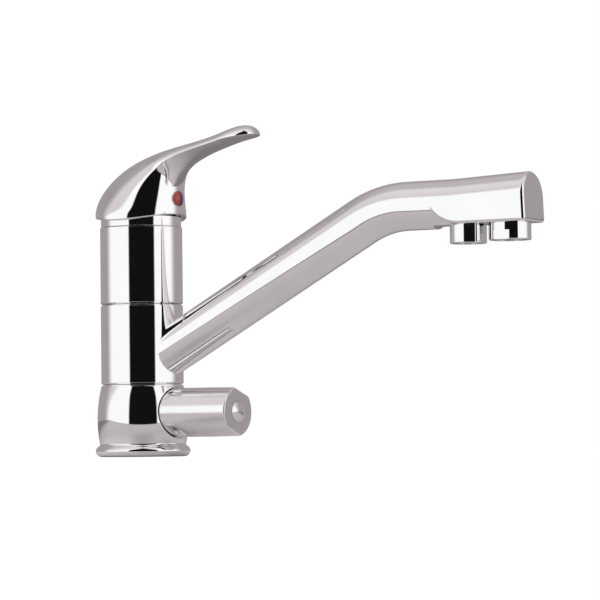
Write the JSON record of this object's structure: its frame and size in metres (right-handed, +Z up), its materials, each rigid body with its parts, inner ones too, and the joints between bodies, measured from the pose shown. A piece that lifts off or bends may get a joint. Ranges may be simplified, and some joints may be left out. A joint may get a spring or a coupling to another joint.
{
  "type": "drinking water filter tap",
  "caption": "Chromed kitchen tap with a lever mixer on top, a side knob for filtered drinking water and a swivel spout with separate outlets for mixed and filtered water",
  "frame": {"origin": "on the body's axis at worktop level, at the mouth of the central fixing stud hole", "axes": "+X along the lever and the knob, with the spout 3.5 degrees off it, +Z up, +Y to the cold side"},
  "size_m": [0.2777, 0.0559, 0.1867],
  "materials": {
    "chrome": "mirror-polished chrome plating",
    "brass": "turned brass",
    "rubber": "moulded black rubber",
    "white_plastic": "moulded white plastic",
    "grey_plastic": "moulded grey plastic",
    "ceramic": "lapped ceramic",
    "steel": "stainless steel",
    "red_plastic": "glossy red plastic",
    "blue_plastic": "glossy blue plastic"
  },
  "bodies": {
    "base": {"base_ring": "chrome", "base_gasket": "rubber", "base_body": "chrome", "lower_slip_ring": "white_plastic", "upper_slip_ring": "white_plastic", "collar_o_rings": "rubber", "upper_body": "chrome", "trim_ring": "chrome", "cartridge_seals": "rubber", "cartridge_base": "grey_plastic", "fixed_disc": "ceramic", "cartridge_housing": "grey_plastic", "cartridge_nut": "brass", "valve_headwork": "brass", "headwork_o_ring": "rubber", "valve_seat_seal": "rubber", "valve_fixed_disc": "ceramic"},
    "spout": {"spout_collar": "chrome", "spout_tube": "chrome", "spout_head": "chrome", "filter_line": "white_plastic", "main_aerator_housing": "chrome", "main_aerator_insert": "white_plastic", "main_aerator_washer": "rubber", "filter_nozzle_housing": "chrome", "filter_nozzle_insert": "white_plastic", "filter_nozzle_washer": "rubber"},
    "lever_carrier": {"cartridge_rotor": "white_plastic", "lever_pin": "steel"},
    "disc": {"disc_carrier": "white_plastic", "moving_disc": "ceramic"},
    "lever": {"spindle": "brass", "lever_handle": "chrome", "lever_screw": "steel", "hot_index": "red_plastic", "cold_index": "blue_plastic"},
    "filter_knob": {"knob": "chrome", "knob_screw": "steel", "knob_button": "chrome", "valve_spindle": "brass", "valve_moving_disc": "ceramic"}
  },
  "joints": [
    {"name": "spout_swivel", "type": "hinge", "parent": "base", "child": "spout", "pos_m": [0, 0, 0.065], "axis": [0, 0, 1], "continuous": true},
    {"name": "lever_turn", "type": "hinge", "parent": "base", "child": "lever_carrier", "pos_m": [0, 0, 0.13], "axis": [0, 0, 1], "range_deg": [-45, 45]},
    {"name": "lever_lift", "type": "hinge", "parent": "lever_carrier", "child": "lever", "pos_m": [0, 0, 0.13], "axis": [0, -1, 0], "range_deg": [0, 25]},
    {"name": "disc_slide", "type": "slide", "parent": "lever_carrier", "child": "disc", "axis": [1, 0, 0], "range_m": [0, 0.0038]},
    {"name": "filter_knob_turn", "type": "hinge", "parent": "base", "child": "filter_knob", "pos_m": [0.04, 0, 0.025], "axis": [1, 0, 0], "range_deg": [0, 90]}
  ],
  "couplings": [
    {"joint": "disc_slide", "follows": "lever_lift", "m_per_rad": 0.00871}
  ]
}
